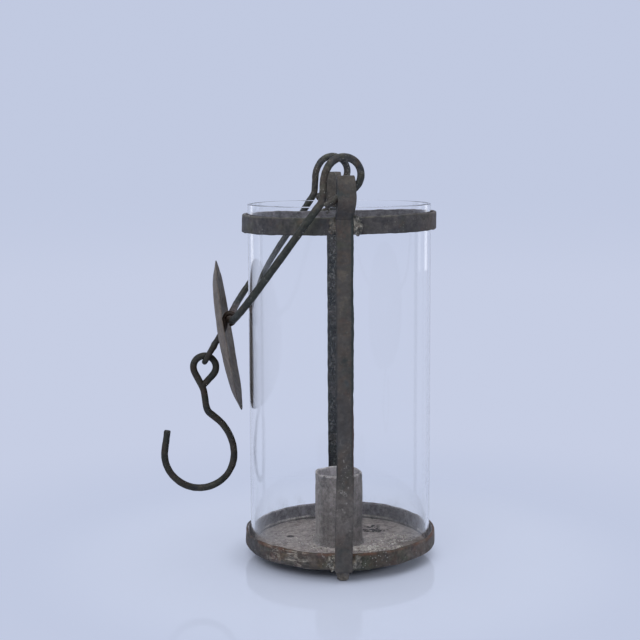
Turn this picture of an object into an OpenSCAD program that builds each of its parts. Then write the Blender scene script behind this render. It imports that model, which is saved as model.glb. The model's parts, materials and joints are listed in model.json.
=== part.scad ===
// Candle lantern: a tray with a socket, two flat uprights brazed to the tray and to a guard ring,
// a loose glass tube, and a bail that carries a smoke disc, a wire link and a hook.
// Origin: on the floor below the middle of the tray. The front upright is at -Y, +Z is up.
// It is drawn with the bail swung down to -X, beside the glass.

/* [Glass chimney] */
// Outer diameter of the glass tube
glass_d = 100; // [80:1:130]
// Wall of the glass tube
glass_wall = 2.4; // [1.5:0.1:4]
// Length of the glass tube
glass_h = 189.2; // [165:1:260]

/* [Tray and guard ring] */
// Gap all round between the glass and the bands that hold it
glass_gap = 1.3; // [0.6:0.1:3]
// Thickness of the tray's wall and of the guard ring
band_wall = 1.9; // [1.2:0.1:3]
// Height of the tray from its underside to its rim
tray_h = 9.7; // [8:0.1:20]
// Thickness of the tray's floor
tray_floor = 1.5; // [0.8:0.1:3]
// Radius of the tray's outer bottom edge
tray_edge_r = 3; // [2:0.5:5]
// Height of the guard ring
ring_h = 9.2; // [6:0.1:16]
// How far the glass stands out above the guard ring
glass_above_ring = 5; // [1:0.5:20]

/* [Feet] */
// Height of a foot
foot_h = 5.9; // [3:0.1:10]
// Diameter of a foot
foot_d = 7.2; // [5:0.1:12]
// Radius of a foot's rounded bottom edge
foot_edge_r = 1.5; // [0.5:0.1:2]
// How far a foot reaches out under the tray's rounded edge
foot_reach = 1.6; // [0:0.1:2]

/* [Candle socket] */
// Bore of the candle socket
socket_bore = 24; // [18:0.5:40]
// Wall of the candle socket
socket_wall = 1.2; // [0.8:0.1:3]
// Height of the candle socket above the tray's floor
socket_h = 39.9; // [20:0.1:60]
// Height and spread of the solder flare round the socket's foot
socket_flare = 3.2; // [1:0.1:6]

/* [Uprights] */
// Width of the flat bar
strap_w = 8.85; // [6:0.05:12]
// Thickness of the flat bar
strap_t = 2.5; // [1.5:0.1:4]
// Height of the folded eye above the guard ring
strap_eye_h = 21.6; // [20:0.1:40]
// Depth of the curved saddle that seats a bar on the round bands
saddle = 0.3; // [0.2:0.05:0.6]
// Gap each side of the rod inside the folded eye
slot_play = 0.35; // [0.3:0.05:1]
// Radius of a braze blob
braze_r = 2.5; // [1.5:0.1:3]

/* [Bail] */
// Diameter of the bail's rod
rod_d = 3.9; // [3:0.1:5]
// Height of the bail from its swing axis to the middle of the rod at its top
bail_h = 99.5; // [80:0.5:125]
// How far the middle of the bail's top stands out from the glass
bail_gap = 10; // [9:0.1:16]
// Bend radius at the bail's two upper corners
bail_corner_r = 27; // [12:1:34]
// Slope of each half of the bail's top
bail_peak = 7.5; // [2:0.5:15]
// Bend radius at the middle of the bail's top
bail_apex_r = 40; // [30:1:80]
// Height of the swing axis above the top of the uprights
pivot_rise = 0; // [0:0.1:2]
// Clearance between the bail's eye and the fold that it swings on
eye_play = 1.1; // [0.5:0.1:2]

/* [Smoke disc] */
// Diameter of the smoke disc
disc_d = 83.6; // [60:0.1:100]
// Depth of its dish
disc_depth = 5.6; // [3:0.1:8]
// Thickness of its sheet
disc_t = 0.9; // [0.6:0.1:2]
// Angle of its pole from straight down
disc_lean = 80.7; // [78:0.1:85]
// How far along the link the disc hangs from the bail's rod
disc_drop = 11.7; // [11:0.1:14]
// Clearance of the wire in the disc's hole
disc_hole_play = 0.6; // [0.3:0.1:1.5]

/* [Link] */
// Diameter of the link's wire
wire_d = 3; // [2:0.1:3.5]
// Length of the link from the bail's rod to the middle of its far bend
link_len = 27.9; // [26:0.1:40]
// Angle of the link from hanging straight down
link_lean = 30.4; // [20:0.1:35]
// Clearance of the link's eyes on the bail's rod
link_eye_play = 0.45; // [0.3:0.05:1]

/* [Hook] */
// Diameter of the hook's rod
hook_rod_d = 3.8; // [3:0.1:4]
// Radius of the hook's eye to the middle of its rod
hook_eye_r = 6.3; // [6:0.1:9]
// Straight length of the side that leads down from the hook's eye
hook_eye_side = 9.8; // [8:0.1:14]
// Bend radius where that side meets the shank
hook_throat_r = 5; // [3:0.5:8]
// Straight length of the hook's shank
hook_shank = 9.6; // [5:0.1:30]
// Bend radius below the shank
hook_bend_r = 5; // [4:0.5:8]
// Straight run from that bend to the hook's arc
hook_reach = 4; // [3:0.1:12]
// Radius of the wider arc that leads into the hook's own
hook_entry_r = 26.5; // [22:0.5:34]
// Radius of the hook's arc to the middle of its rod
hook_r = 19.3; // [14:0.1:22]
// Straight length of the hook's point
hook_point = 9.6; // [3:0.1:14]
// Gap each side of the hook's rod between the link's legs
hook_play = 0.3; // [0.3:0.05:1]

/* [Hidden] */
$fn = 72;
band_fn = 180;
sphere_fn = 720;

// How far a cutting solid runs past what it cuts
cut = 1;

// Where two pieces of one rod meet, each stops short of the joint by this much, inside a ball
weld_gap = 0.05;
weld_swell = 0.04;

iron = "#4b4843";
iron_dark = "#34322e";
pewter = "#6b6963";
braze = "#8c8a7c";
clear_glass = [0.82, 0.9, 0.9, 0.35];

// Radii and heights of the round bands
band_r = glass_d/2 + glass_gap + band_wall;
tray_z = foot_h;
floor_z = tray_z + tray_floor;
rim_z = tray_z + tray_h;
// The tray's inner corner is smaller than the gap, so the tube stands on the flat floor
inner_edge_share = 0.8;
tray_inner_edge_r = inner_edge_share*glass_gap;
glass_top_z = floor_z + glass_h;
ring_top_z = glass_top_z - glass_above_ring;
ring_z = ring_top_z - ring_h;
foot_ring_r = band_r - tray_edge_r + foot_reach - foot_d/2;
feet_angles = [-90, 150, 30];

// Thickness of the thin edges of the solder's flare
flare_edge = 0.3;
flare_web = 0.25;

// A braze blob's middle, in radii of the blob, beside the bar and behind the bands' outer face
braze_out = 0.45;
braze_in = -0.15;

// The folded eye of an upright, in distance from the axis and height
slot_gap = rod_d + 2*slot_play;
strap_out_r = band_r + strap_t;
rod_plane = strap_out_r + slot_gap/2;
strap_top_z = ring_top_z + strap_eye_h;
fold_z = strap_top_z - strap_t - slot_gap/2;
fold_outer_r = strap_out_r + slot_gap + strap_t/2;
lip_lift = 0.8;
lip_bite = 0.4;
knee_lift = 0.9;
lip_z = ring_top_z + lip_lift;
knee_z = lip_z + slot_gap + knee_lift;

// The bail stands upright in its own frame: the swing axis is at the origin, the arms go up
pivot_x = -0.7;
pivot_z = strap_top_z + pivot_rise;
bail_lean = asin((glass_d/2 + bail_gap + pivot_x)/bail_h);
eye_r = norm([strap_w/2 - pivot_x, strap_t + pivot_rise]) + eye_play + rod_d/2;
eye_shoulder_r = 16;
eye_throat_r = 6;
eye_slant = 34;
eye_tail_lean = 23.4;
arm_x = 0.6;
// The eye's tail stops this many rod diameters short of the middle of the arm
tail_stop = 0.62;
eye_side = (eye_r - eye_shoulder_r*(1 - cos(eye_slant)) - eye_throat_r*(1 - cos(eye_slant)) - arm_x)
    /sin(eye_slant);
eye_h = eye_shoulder_r*sin(eye_slant) + eye_side*cos(eye_slant) + eye_throat_r*sin(eye_slant);
eye_tail = (arm_x - tail_stop*rod_d + eye_r*cos(eye_tail_lean))/sin(eye_tail_lean);
top_turn = 90 - bail_peak;
top_run = (rod_plane - bail_corner_r*(1 - cos(top_turn)) - bail_apex_r*cos(top_turn))/sin(top_turn);
arm_len = bail_h - bail_corner_r*sin(top_turn) - top_run*cos(top_turn)
    - bail_apex_r*(1 - sin(top_turn)) - eye_h;

// The link's legs pass each side of the hook's rod
leg_y = hook_rod_d/2 + hook_play + wire_d/2;
link_eye_r = rod_d/2 + link_eye_play + wire_d/2;
apex_sag = bail_apex_r - sqrt(bail_apex_r*bail_apex_r - leg_y*leg_y);
link_axis_z = bail_h - apex_sag;

// The disc's sphere, and a hole that lets the slanting legs through. leg_corner is the direction, in
// a leg's oval section, of the point farthest from the middle of the hole
disc_r = disc_d/2;
disc_sphere_r = (disc_r*disc_r + disc_depth*disc_depth)/(2*disc_depth);
disc_tilt = disc_lean - link_lean;
leg_slant = wire_d/2/cos(disc_tilt) + disc_t/2*tan(disc_tilt);
leg_corner = acos(min(1, leg_y*wire_d/2/(leg_slant*leg_slant - wire_d*wire_d/4)));
disc_hole_r = norm([leg_y + wire_d/2*cos(leg_corner), leg_slant*sin(leg_corner)]) + disc_hole_play;

// The hook hangs with its eye on the link's far bend
hook_eye_play = 0.2;
hook_seat = hook_eye_r - hook_rod_d/2 - wire_d/2 - hook_eye_play;
shank_lean = 7.6;
hook_throat = 19.4;
hook_tail_lean = 40;
hook_tail = 1.08;
hook_slope = 51.5;
hook_entry = 2;
hook_point_lean = 9.4;
eye_lean = shank_lean + hook_throat;

function turned(p, a) = [p[0]*cos(a) + p[1]*sin(a), p[1]*cos(a) - p[0]*sin(a)];
bail_pivot = [pivot_x, pivot_z];
link_pivot = bail_pivot + turned([arm_x, link_axis_z], bail_lean - 180);
disc_pivot = link_pivot + turned([0, disc_drop], link_lean - 180);
hook_pivot = link_pivot + turned([0, link_len], link_lean - 180);
echo(bail_pivot = bail_pivot, link_pivot = link_pivot, disc_pivot = disc_pivot, hook_pivot = hook_pivot);

// One bend of a rod: it starts at the origin going up and leans over towards +X
module rod_bend(r, a, d) {
    trim = weld_gap/r*180/PI;
    translate([r, 0, 0])
        rotate([90, 0, 180])
            rotate([0, 0, trim])
                rotate_extrude(angle = a - 2*trim)
                    translate([r, 0]) circle(d = d);
}

// The weld between two pieces of a rod: a ball hardly thicker than the rod, so that the pieces fuse
module weld(d) {
    sphere(d = d + weld_swell);
}

// A rod bent along a path. A run is [length]; a bend is [radius, angle, roll], where a roll turns the
// plane of this and the later bends, and a negative angle bends the other way
module rod_run(path, d, i = 0) {
    step = path[i];
    a = len(step) == 1 ? 0 : abs(step[1]);
    r = step[0];
    roll = len(step) == 1 ? 0 : step[2];
    flip = len(step) > 1 && step[1] < 0 ? 180 : 0;
    rotate([0, 0, roll + flip]) {
        if (len(step) == 1) translate([0, 0, weld_gap]) cylinder(d = d, h = r - 2*weld_gap);
        else rod_bend(r, a, d);
        if (i < len(path) - 1)
            translate([a == 0 ? 0 : r*(1 - cos(a)), 0, a == 0 ? r : r*sin(a)])
                rotate([0, a, 0])
                    rotate([0, 0, -flip]) {
                        weld(d);
                        rod_run(path, d, i + 1);
                    }
    }
}

// A rounded pan section or its hollow, for turning about Z
module pan_section(r, h, edge) {
    translate([0, edge]) square([r, h - edge]);
    square([r - edge, h]);
    translate([r - edge, edge]) circle(r = edge);
}

module tray() {
    color(pewter)
        translate([0, 0, tray_z])
            rotate_extrude() {
                difference() {
                    pan_section(band_r, tray_h - band_wall/2, tray_edge_r);
                    translate([0, tray_floor]) pan_section(band_r - band_wall, tray_h, tray_inner_edge_r);
                }
                translate([band_r - band_wall/2, tray_h - band_wall/2]) circle(d = band_wall);
            }
}

module candle_socket() {
    color(pewter)
        translate([0, 0, floor_z])
            difference() {
                cylinder(d = socket_bore + 2*socket_wall, h = socket_h);
                cylinder(d = socket_bore, h = socket_h);
            }
}

module socket_solder() {
    foot_r = socket_bore/2 + socket_wall;
    color(braze)
        translate([0, 0, floor_z])
            rotate_extrude()
                difference() {
                    translate([foot_r, 0]) square(socket_flare);
                    translate([foot_r + socket_flare + flare_web, socket_flare + flare_web]) circle(r = socket_flare);
                    translate([foot_r + socket_flare - flare_edge, 0]) square(socket_flare);
                    translate([foot_r, socket_flare - flare_edge]) square(socket_flare);
                }
}

module foot(angle) {
    color(iron)
        rotate([0, 0, angle])
            translate([foot_ring_r, 0, 0])
                rotate_extrude() {
                    square([foot_d/2 - foot_edge_r, foot_h]);
                    translate([0, foot_edge_r]) square([foot_d/2, foot_h - foot_edge_r]);
                    intersection() {
                        translate([foot_d/2 - foot_edge_r, foot_edge_r]) circle(r = foot_edge_r);
                        square(foot_d/2);
                    }
                }
}

module foot_front() foot(feet_angles[0]);
module foot_left() foot(feet_angles[1]);
module foot_right() foot(feet_angles[2]);

// A round along the bar's width, at a distance from the lantern's axis and a height
module strap_round(out, z, d) {
    translate([-strap_w/2, -out, z]) rotate([0, 90, 0]) cylinder(d = d, h = strap_w);
}

// The outer layer's end, slanting in from the knee to the lip, where it is closed on the upright
module strap_closing() {
    lip_r = strap_out_r + strap_t/2 - lip_bite;
    drop = knee_z - lip_z;
    run = fold_outer_r - lip_r;
    strap_round(fold_outer_r, knee_z, strap_t);
    strap_round(lip_r, lip_z, strap_t);
    translate([0, -lip_r, lip_z])
        rotate([atan2(run, drop), 0, 0])
            translate([-strap_w/2, -strap_t/2, 0])
                cube([strap_w, strap_t, norm([run, drop])]);
}

module upright() {
    color(iron) {
        difference() {
            translate([-strap_w/2, -strap_out_r, tray_z + saddle])
                cube([strap_w, strap_t + saddle, fold_z - tray_z - saddle]);
            cylinder(r = band_r, h = ring_top_z, $fn = band_fn);
            translate([-strap_w/2 - cut, -band_r, ring_top_z - cut])
                cube([strap_w + 2*cut, saddle + cut, strap_eye_h + 2*cut]);
        }
        difference() {
            strap_round(rod_plane, fold_z, slot_gap + 2*strap_t);
            strap_round(rod_plane, fold_z, slot_gap);
            translate([-strap_w/2, -rod_plane - slot_gap, fold_z - 2*slot_gap])
                cube([strap_w, 2*slot_gap, 2*slot_gap]);
        }
        translate([-strap_w/2, -fold_outer_r - strap_t/2, knee_z])
            cube([strap_w, strap_t, fold_z - knee_z]);
        strap_closing();
    }
}

module upright_front() upright();
module upright_rear() rotate([0, 0, 180]) upright();

module guard_ring() {
    color(iron)
        translate([0, 0, ring_z])
            difference() {
                cylinder(r = band_r, h = ring_h, $fn = band_fn);
                cylinder(r = band_r - band_wall, h = ring_h, $fn = band_fn);
            }
}

// Two braze blobs, one in each corner between a round band and the front bar
module braze_pair(z, h) {
    color(braze)
        difference() {
            for (side = [-1, 1])
                translate([side*(strap_w/2 + braze_out*braze_r), -band_r + braze_in*braze_r, z + braze_r]) {
                    cylinder(r = braze_r, h = h - 2*braze_r);
                    sphere(r = braze_r);
                    translate([0, 0, h - 2*braze_r]) sphere(r = braze_r);
                }
            translate([0, 0, z - cut]) cylinder(r = band_r, h = h + 2*cut, $fn = band_fn);
            translate([-strap_w/2, -band_r - 3*braze_r, z - cut]) cube([strap_w, 6*braze_r, h + 2*cut]);
        }
}

module ring_braze_front() braze_pair(ring_z, ring_h);
module ring_braze_rear() rotate([0, 0, 180]) braze_pair(ring_z, ring_h);
module tray_braze_front() braze_pair(tray_z + tray_edge_r/2, tray_h - tray_edge_r/2);
module tray_braze_rear() rotate([0, 0, 180]) tray_braze_front();

module glass_chimney() {
    color(clear_glass)
        translate([0, 0, floor_z])
            rotate_extrude($fn = band_fn) {
                translate([glass_d/2 - glass_wall, glass_wall/2]) square([glass_wall, glass_h - glass_wall]);
                translate([glass_d/2 - glass_wall, 0]) square([glass_wall, glass_wall]);
                translate([glass_d/2 - glass_wall/2, glass_h - glass_wall/2]) circle(d = glass_wall);
            }
}

// Half of the bail: an eye, an arm, a corner and half of the top
module bail_half() {
    translate([arm_x, -rod_plane, eye_h]) {
        weld(rod_d);
        rod_run([[arm_len], [bail_corner_r, top_turn, 90], [top_run], [bail_apex_r, bail_peak, 0]], rod_d);
        rotate([0, 180, 0])
            rod_run([[eye_throat_r, -eye_slant, 0], [eye_side], [eye_shoulder_r, eye_slant, 0],
                [eye_r, 180 + eye_tail_lean, 0], [eye_tail]], rod_d);
    }
}

module bail() {
    color(iron_dark)
        translate([pivot_x, 0, pivot_z])
            rotate([0, bail_lean - 180, 0]) {
                bail_half();
                mirror([0, 1, 0]) bail_half();
                translate([arm_x, 0, bail_h]) weld(rod_d);
            }
}

module hanging_link() {
    color(iron_dark)
        translate([link_pivot[0], 0, link_pivot[1]])
            rotate([0, link_lean - 180, 0]) {
                leg = link_len - leg_y - link_eye_r;
                for (side = [-1, 1])
                    translate([0, side*leg_y, 0])
                        rotate([90, 0, 0])
                            rotate_extrude() translate([link_eye_r, 0]) circle(d = wire_d);
                translate([0, -leg_y, link_eye_r])
                    rod_run([[leg], [leg_y, 180, 90], [leg]], wire_d);
            }
}

module smoke_disc() {
    color(iron)
        translate([disc_pivot[0], 0, disc_pivot[1]])
            rotate([0, disc_lean - 180, 0])
                rotate_extrude($fn = band_fn)
                    intersection() {
                        translate([0, disc_t/2 - disc_sphere_r])
                            difference() {
                                circle(r = disc_sphere_r, $fn = sphere_fn);
                                circle(r = disc_sphere_r - disc_t, $fn = sphere_fn);
                            }
                        translate([disc_hole_r, -2*disc_depth]) square([disc_r - disc_hole_r, 3*disc_depth]);
                    }
}

module hook() {
    // The shank's top end, seen from the middle of the eye
    eye_exit = -hook_eye_r*[cos(eye_lean), sin(eye_lean)] + hook_eye_side*[sin(eye_lean), -cos(eye_lean)];
    throat_x = hook_throat_r*(cos(shank_lean) - cos(eye_lean));
    throat_z = hook_throat_r*(sin(eye_lean) - sin(shank_lean));
    color(iron_dark)
        translate([hook_pivot[0], 0, hook_pivot[1] - hook_seat])
            translate([eye_exit[0] + throat_x, 0, eye_exit[1] - throat_z]) {
                weld(hook_rod_d);
                rotate([0, -shank_lean, 0])
                    rod_run([[hook_throat_r, -hook_throat, 0], [hook_eye_side],
                        [hook_eye_r, eye_lean + 180 + hook_tail_lean, 0],
                        [hook_tail*hook_eye_r]], hook_rod_d);
                rotate([0, 180 - shank_lean, 0])
                    rod_run([[hook_shank], [hook_bend_r, shank_lean - hook_slope, 0], [hook_reach],
                        [hook_entry_r, hook_slope - hook_entry, 0],
                        [hook_r, hook_entry + 180 + hook_point_lean, 0], [hook_point]], hook_rod_d);
            }
}

tray();
candle_socket();
socket_solder();
foot_front();
foot_left();
foot_right();
upright_front();
upright_rear();
guard_ring();
ring_braze_front();
ring_braze_rear();
tray_braze_front();
tray_braze_rear();
glass_chimney();
bail();
hanging_link();
smoke_disc();
hook();
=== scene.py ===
import json
import bpy
import numpy as np
from mathutils import Matrix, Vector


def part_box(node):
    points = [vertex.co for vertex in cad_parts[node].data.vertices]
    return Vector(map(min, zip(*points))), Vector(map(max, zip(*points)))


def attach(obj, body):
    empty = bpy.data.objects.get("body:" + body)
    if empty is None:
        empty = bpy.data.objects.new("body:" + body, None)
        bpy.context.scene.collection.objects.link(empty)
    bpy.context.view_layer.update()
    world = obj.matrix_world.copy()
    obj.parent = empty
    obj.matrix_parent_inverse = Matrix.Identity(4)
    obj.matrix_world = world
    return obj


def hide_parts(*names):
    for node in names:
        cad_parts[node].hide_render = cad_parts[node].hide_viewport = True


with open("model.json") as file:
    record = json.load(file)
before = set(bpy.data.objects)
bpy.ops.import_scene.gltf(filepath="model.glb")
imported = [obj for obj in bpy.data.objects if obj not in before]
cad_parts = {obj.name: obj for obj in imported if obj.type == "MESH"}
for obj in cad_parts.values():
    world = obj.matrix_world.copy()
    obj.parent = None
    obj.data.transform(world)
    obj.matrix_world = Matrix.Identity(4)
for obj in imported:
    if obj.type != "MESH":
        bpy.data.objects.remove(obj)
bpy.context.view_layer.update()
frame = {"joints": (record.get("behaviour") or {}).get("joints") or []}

# A candle lantern of old iron with a loose glass tube, dressed piece by piece on its solids.
# Lengths are in millimetres until a mesh is made.
MM = 0.001


# Sizes of the solids

def corners(node):
    """A solid's lowest and highest corner."""
    low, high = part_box(node)
    return np.array(low)/MM, np.array(high)/MM


def pivot(name):
    """A joint's place as (x, z)."""
    place = next(joint["pos_m"] for joint in frame["joints"] if joint["name"] == name)
    return np.array([place[0], place[2]])/MM


def heading(vector):
    """The direction of (x, z) in degrees from +Z towards +X."""
    return np.degrees(np.arctan2(vector[0], vector[1]))


tray_low, tray_high = corners("tray")
glass_low, glass_high = corners("glass_chimney")
ring_low, ring_high = corners("guard_ring")
bar_low, bar_high = corners("upright_front")
socket_low, socket_high = corners("candle_socket")
foot_low, foot_high = corners("foot_front")

BAND_R = tray_high[0]
BAND_WALL = 1.9
TRAY_Z = tray_low[2]
TRAY_TOP = tray_high[2]
TRAY_EDGE_R = 3.0
FLOOR_Z = glass_low[2]
FOOT_R = -(foot_low[1] + foot_high[1])/2
FOOT_D = foot_high[0] - foot_low[0]
GLASS_R = glass_high[0]
GLASS_WALL = 1.8
GLASS_TOP = glass_high[2]
RING_Z = ring_low[2]
RING_TOP = ring_high[2]
SOCKET_OUTER = socket_high[0]
SOCKET_WALL = 1.2
SOCKET_TOP = socket_high[2]

STRAP_W = bar_high[0] - bar_low[0]
STRAP_T = 2.5
STRAP_TOP = bar_high[2]
STRAP_OUT = BAND_R + STRAP_T
ROD_D = 3.9
SLOT_GAP = -bar_low[1] - STRAP_OUT - STRAP_T
ROD_PLANE = STRAP_OUT + SLOT_GAP/2
FOLD_Z = STRAP_TOP - STRAP_T - SLOT_GAP/2
FOLD_OUTER = STRAP_OUT + SLOT_GAP + STRAP_T/2
LIP_Z = RING_TOP + 0.8
KNEE_Z = LIP_Z + SLOT_GAP + 0.9

BAIL_PIVOT = pivot("bail_swing")
LINK_PIVOT = pivot("link_swing")
DISC_PIVOT = pivot("disc_tilt")
HOOK_PIVOT = pivot("hook_swing")
ARM_X = 0.6
APEX_R = 40.0
HOOK_D = 3.8
WIRE_D = 3.0
LEG_Y = HOOK_D/2 + 0.3 + WIRE_D/2
BAIL_REACH = np.sqrt(((LINK_PIVOT - BAIL_PIVOT)**2).sum() - ARM_X**2)
BAIL_H = BAIL_REACH + APEX_R - np.sqrt(APEX_R**2 - LEG_Y**2)
BAIL_LEAN = heading(LINK_PIVOT - BAIL_PIVOT) - heading((ARM_X, BAIL_REACH)) + 180
BAIL_EYE_R = corners("bail")[1][2] - BAIL_PIVOT[1] - ROD_D/2
LINK_LEN = np.linalg.norm(HOOK_PIVOT - LINK_PIVOT)
LINK_LEAN = heading(HOOK_PIVOT - LINK_PIVOT) + 180
DISC_LEAN = 80.7
DISC_R = corners("smoke_disc")[1][1]
DISC_SPHERE = (DISC_R**2 + 5.6**2)/(2*5.6)
DISC_T = 0.9
DISC_HOLE = 5.81

# How far the candle tube stands from the middle
SOCKET_LEAN = np.array([-0.6, 0, 0])

# The guard ring's tilt about Y in degrees, with its left end down
RING_TILT = 0.75

# How far the bands' and the bars' outer faces are drawn in, so that their waves stay inside the solids' box
WORN_OFF = 0.2


# Shapes

def waves(points, length, seed, count=20):
    """A smooth random field of about unit size at each point.

    It is the sum of sines along random directions, with wave lengths near length, over the square root
    of half their number.
    """
    rng = np.random.default_rng(seed)
    direction = rng.normal(size=(count, 3))
    direction /= np.linalg.norm(direction, axis=1, keepdims=True)
    pitch = length*rng.uniform(0.7, 1.5, count)
    phase = rng.uniform(0, 2*np.pi, count)
    turn = points @ (direction/pitch[:, None]*2*np.pi).T + phase
    return np.sin(turn).sum(axis=-1)/np.sqrt(count/2)


def worn(points, layers, seed):
    """Points moved by smooth random fields, one layer for each (wave length, size)."""
    moved = points.copy()
    for i, (length, size) in enumerate(layers):
        shift = [waves(points, length, seed + 10*i + axis) for axis in range(3)]
        moved += size*np.stack(shift, axis=-1)
    return moved


def step(value, low, high):
    """0 below low, 1 above high, and 3t^2 - 2t^3 of the share t of the way between them."""
    t = np.clip((value - low)/(high - low), 0, 1)
    return t*t*(3 - 2*t)


def bell(value, middle, spread):
    """A bell curve, exp(-t^2/2) of the distance t from its middle in spreads."""
    return np.exp(-0.5*((value - middle)/spread)**2)


def shell(grid, wrap=False):
    """Vertices, four-sided faces and triangles of a grid whose columns close on themselves.

    With wrap the last row joins the first; otherwise each end row is closed by a fan to its middle.
    """
    rows, columns = grid.shape[:2]
    index = np.arange(rows*columns).reshape(rows, columns)
    following = np.roll(index, -1, axis=1)
    above, beyond = np.roll(index, -1, axis=0), np.roll(following, -1, axis=0)
    quads = np.stack([index, following, beyond, above], axis=-1)
    points = grid.reshape(-1, 3)
    if wrap:
        return points, quads.reshape(-1, 4), np.zeros((0, 3), int)
    ends = np.stack([grid[0].mean(axis=0), grid[-1].mean(axis=0)])
    first, last = rows*columns, rows*columns + 1
    near = np.stack([np.full(columns, first), following[0], index[0]], axis=-1)
    far = np.stack([np.full(columns, last), index[-1], following[-1]], axis=-1)
    return np.concatenate([points, ends]), quads[:-1].reshape(-1, 4), np.concatenate([near, far])


def joined(parts):
    """Several surfaces as one."""
    starts = np.cumsum([0] + [len(points) for points, _, _ in parts])
    return (np.concatenate([points for points, _, _ in parts]),
            np.concatenate([quads + start for (_, quads, _), start in zip(parts, starts)]),
            np.concatenate([fans + start for (_, _, fans), start in zip(parts, starts)]))


def signed_volume(points, quads, fans):
    """The sum over the triangles of a . (b x c)/6, which is negative when they point inwards."""
    triangles = np.concatenate([quads[:, :3], quads[:, [0, 2, 3]], fans])
    a, b, c = points[triangles].transpose(1, 0, 2)
    return np.einsum("ij,ij->i", a, np.cross(b, c)).sum()/6


def add_piece(name, surface, body, finish, replaces=()):
    """A mesh of one closed surface, in metres, smooth shaded, riding on a body."""
    points, quads, fans = surface
    turn = -1 if signed_volume(points, quads, fans) < 0 else 1
    faces = quads[:, ::turn].tolist() + fans[:, ::turn].tolist()
    mesh = bpy.data.meshes.new(name)
    mesh.from_pydata((points*MM).tolist(), [], faces)
    mesh.polygons.foreach_set("use_smooth", np.ones(len(faces), dtype=bool))
    mesh.materials.append(finish)
    mesh.update()
    piece = bpy.data.objects.new(name, mesh)
    bpy.context.scene.collection.objects.link(piece)
    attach(piece, body)
    if replaces:
        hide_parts(*replaces)
    return piece


def turned(outline, columns):
    """The outline's points (r, z) turned about Z: (r cos a, r sin a, z) at evenly spaced angles a."""
    angle = np.linspace(0, 2*np.pi, columns, endpoint=False)
    r, z = outline[:, :1], outline[:, 1:]
    return np.stack([r*np.cos(angle), r*np.sin(angle), z + 0*angle], axis=-1)


def rounded(corners, arc_points=12):
    """The line through (x, z, radius) corners, each one rounded by an arc."""
    corners = np.asarray(corners, float)
    runs = [corners[0, :2][None]]
    for before, here, after in zip(corners[:-2], corners[1:-1], corners[2:]):
        to_before = (before - here)[:2]/np.linalg.norm((before - here)[:2])
        to_after = (after - here)[:2]/np.linalg.norm((after - here)[:2])
        half = np.arccos(np.clip(to_before @ to_after, -1, 1))/2
        reach = here[2]/np.tan(half)
        t = np.linspace(0, 1, arc_points)[:, None]
        start, end = here[:2] + reach*to_before, here[:2] + reach*to_after
        middle = here[:2] + (to_before + to_after)/np.linalg.norm(to_before + to_after)*here[2]/np.sin(half)
        spoke = (1 - t)*(start - middle) + t*(end - middle)
        runs.append(middle + here[2]*spoke/np.linalg.norm(spoke, axis=1, keepdims=True))
    runs.append(corners[-1, :2][None])
    return np.concatenate(runs)


def evenly(path, spacing):
    """The same path with points at an even distance along it."""
    steps = np.linalg.norm(np.diff(path, axis=0), axis=1)
    path = path[np.concatenate([[True], steps > 1e-9])]
    along = along_path(path)
    places = np.linspace(0, along[-1], int(round(along[-1]/spacing)) + 1)
    return np.stack([np.interp(places, along, path[:, i]) for i in range(path.shape[1])], axis=-1)


def along_path(path):
    """The distance along a path to each of its points."""
    return np.concatenate([[0], np.cumsum(np.linalg.norm(np.diff(path, axis=0), axis=1))])


def turn_about(vector, axis, degrees):
    """A vector turned about a unit axis by Rodrigues' formula."""
    a = np.radians(degrees)
    return vector*np.cos(a) + np.cross(axis, vector)*np.sin(a) + axis*(axis @ vector)*(1 - np.cos(a))


def bent_rod(steps, going_down=False, spacing=0.5):
    """The middle line of a rod bent in steps from the origin.

    A run is (length,). A bend is (radius, degrees, roll): the roll turns the plane of bending about the
    rod, and the arc is centre - r cos(a) inward + r sin(a) ahead; negative degrees bend the other way.
    """
    place = np.zeros(3)
    ahead = np.array([0, 0, -1.0 if going_down else 1.0])
    inward = np.array([-1.0 if going_down else 1.0, 0, 0])
    runs = [place[None]]
    for item in steps:
        if len(item) == 1:
            t = np.linspace(0, item[0], max(3, int(item[0]/spacing)))[:, None]
            runs.append(place + t*ahead)
            place = place + item[0]*ahead
            continue
        radius, degrees, roll = item
        inward = turn_about(inward, ahead, roll)
        side = inward if degrees > 0 else -inward
        a = np.radians(np.linspace(0, abs(degrees), max(4, int(radius*np.radians(abs(degrees))/spacing))))
        a = a[:, None]
        middle = place + radius*side
        runs.append(middle - radius*np.cos(a)*side + radius*np.sin(a)*ahead)
        place = runs[-1][-1]
        axis = np.cross(ahead, side)
        ahead = turn_about(ahead, axis, abs(degrees))
        inward = turn_about(inward, axis, abs(degrees))
    return np.concatenate(runs)


def leaned(path, place, lean):
    """A path in a swinging piece's own frame, turned about Y by lean and moved to its place (x, z)."""
    a = np.radians(lean)
    x, y, z = path.T
    return np.stack([place[0] + x*np.cos(a) + z*np.sin(a), y, place[1] - x*np.sin(a) + z*np.cos(a)], axis=-1)


def eased(path, spread):
    """A path smoothed by a bell curve over spread points, with its two ends kept."""
    reach = int(3*spread)
    weight = bell(np.arange(-reach, reach + 1), 0, spread)
    weight /= weight.sum()
    padded = np.concatenate([2*path[:1] - path[reach:0:-1], path, 2*path[-1:] - path[-2:-reach - 2:-1]])
    return np.stack([np.convolve(padded[:, i], weight, mode="valid") for i in range(3)], axis=-1)


def frames(path):
    """Unit tangents of a path, and two unit normals carried along it without twist."""
    tangent = np.gradient(path, axis=0)
    tangent /= np.linalg.norm(tangent, axis=1, keepdims=True)
    start = np.cross(tangent[0], [0.0, 1.0, 0.0])
    normals = [start/np.linalg.norm(start)]
    for t in tangent[1:]:
        n = normals[-1] - t*(t @ normals[-1])
        normals.append(n/np.linalg.norm(n))
    normal = np.array(normals)
    return tangent, normal, np.cross(tangent, normal)


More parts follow.
